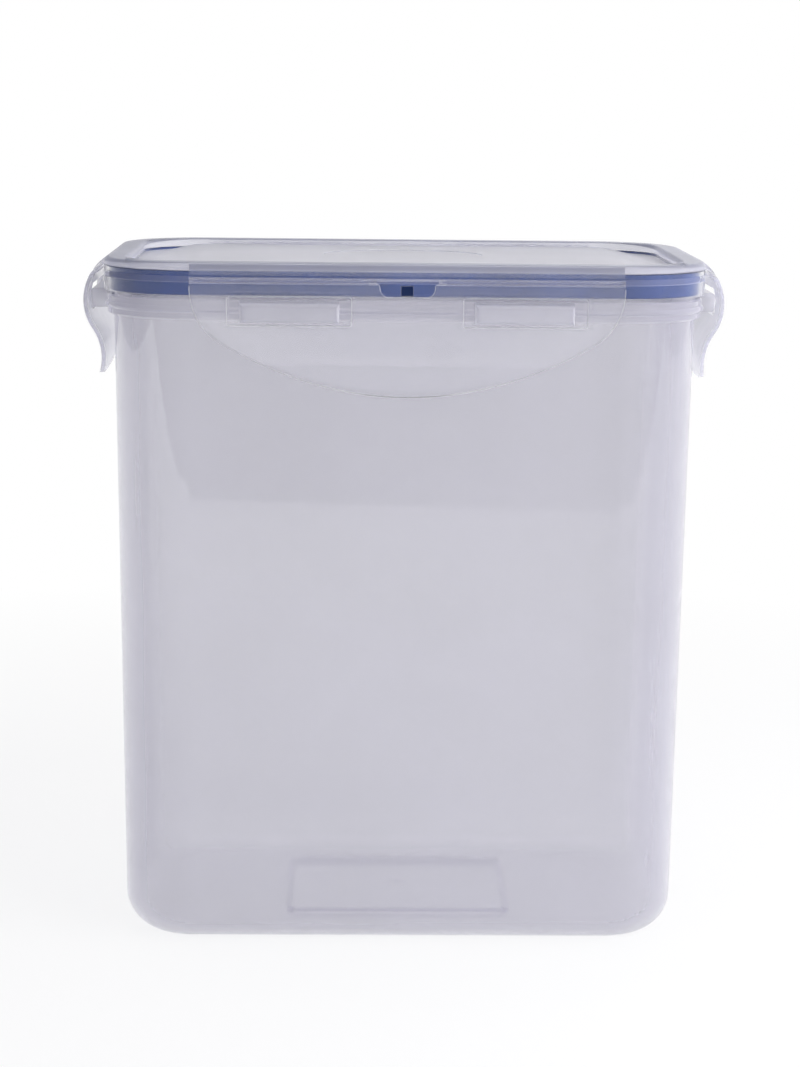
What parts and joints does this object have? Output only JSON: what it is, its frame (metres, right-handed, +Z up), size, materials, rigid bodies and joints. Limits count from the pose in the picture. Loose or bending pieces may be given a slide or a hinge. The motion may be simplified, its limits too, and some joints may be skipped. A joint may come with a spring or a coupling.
{
  "type": "snap-lock food canister",
  "caption": "Tall rectangular translucent food canister with a gasketed lift-off lid, locking flaps on living hinges and catches around a collar.",
  "frame": {"origin": "on the ground, at the middle of the canister's box", "axes": "+X to the right along the long side, -Y towards the front, +Z up"},
  "size_m": [0.2092, 0.1352, 0.225],
  "materials": {
    "container_plastic": "translucent frosted",
    "lid_plastic": "translucent satin",
    "flap_plastic": "translucent satin",
    "silicone": "matt"
  },
  "bodies": {
    "container": {"container": "container_plastic"},
    "lid": {"lid": "lid_plastic", "gasket": "silicone", "front_hinge": "flap_plastic", "back_hinge": "flap_plastic", "left_hinge": "flap_plastic", "right_hinge": "flap_plastic"},
    "front_flap": {"front_flap": "flap_plastic"},
    "back_flap": {"back_flap": "flap_plastic"},
    "left_flap": {"left_flap": "flap_plastic"},
    "right_flap": {"right_flap": "flap_plastic"}
  },
  "joints": [
    {"name": "lid_lift", "type": "slide", "parent": "container", "child": "lid", "axis": [0, 0, 1], "range_m": [0, 0.02]},
    {"name": "front_flap_hinge", "type": "hinge", "parent": "lid", "child": "front_flap", "pos_m": [0, -0.06383, 0.2198], "axis": [-1, 0, 0], "range_deg": [0, 120], "deforming": ["front_hinge"]},
    {"name": "back_flap_hinge", "type": "hinge", "parent": "lid", "child": "back_flap", "pos_m": [0, 0.06383, 0.2198], "axis": [1, 0, 0], "range_deg": [0, 120], "deforming": ["back_hinge"]},
    {"name": "left_flap_hinge", "type": "hinge", "parent": "lid", "child": "left_flap", "pos_m": [-0.10083, 0, 0.2198], "axis": [0, 1, 0], "range_deg": [0, 120], "deforming": ["left_hinge"]},
    {"name": "right_flap_hinge", "type": "hinge", "parent": "lid", "child": "right_flap", "pos_m": [0.10083, 0, 0.2198], "axis": [0, -1, 0], "range_deg": [0, 120], "deforming": ["right_hinge"]}
  ],
  "couplings": [
    {"joint": "front_flap_hinge", "follows": "lid_lift", "rad_per_m": 104.7},
    {"joint": "back_flap_hinge", "follows": "lid_lift", "rad_per_m": 104.7},
    {"joint": "left_flap_hinge", "follows": "lid_lift", "rad_per_m": 104.7},
    {"joint": "right_flap_hinge", "follows": "lid_lift", "rad_per_m": 104.7}
  ]
}
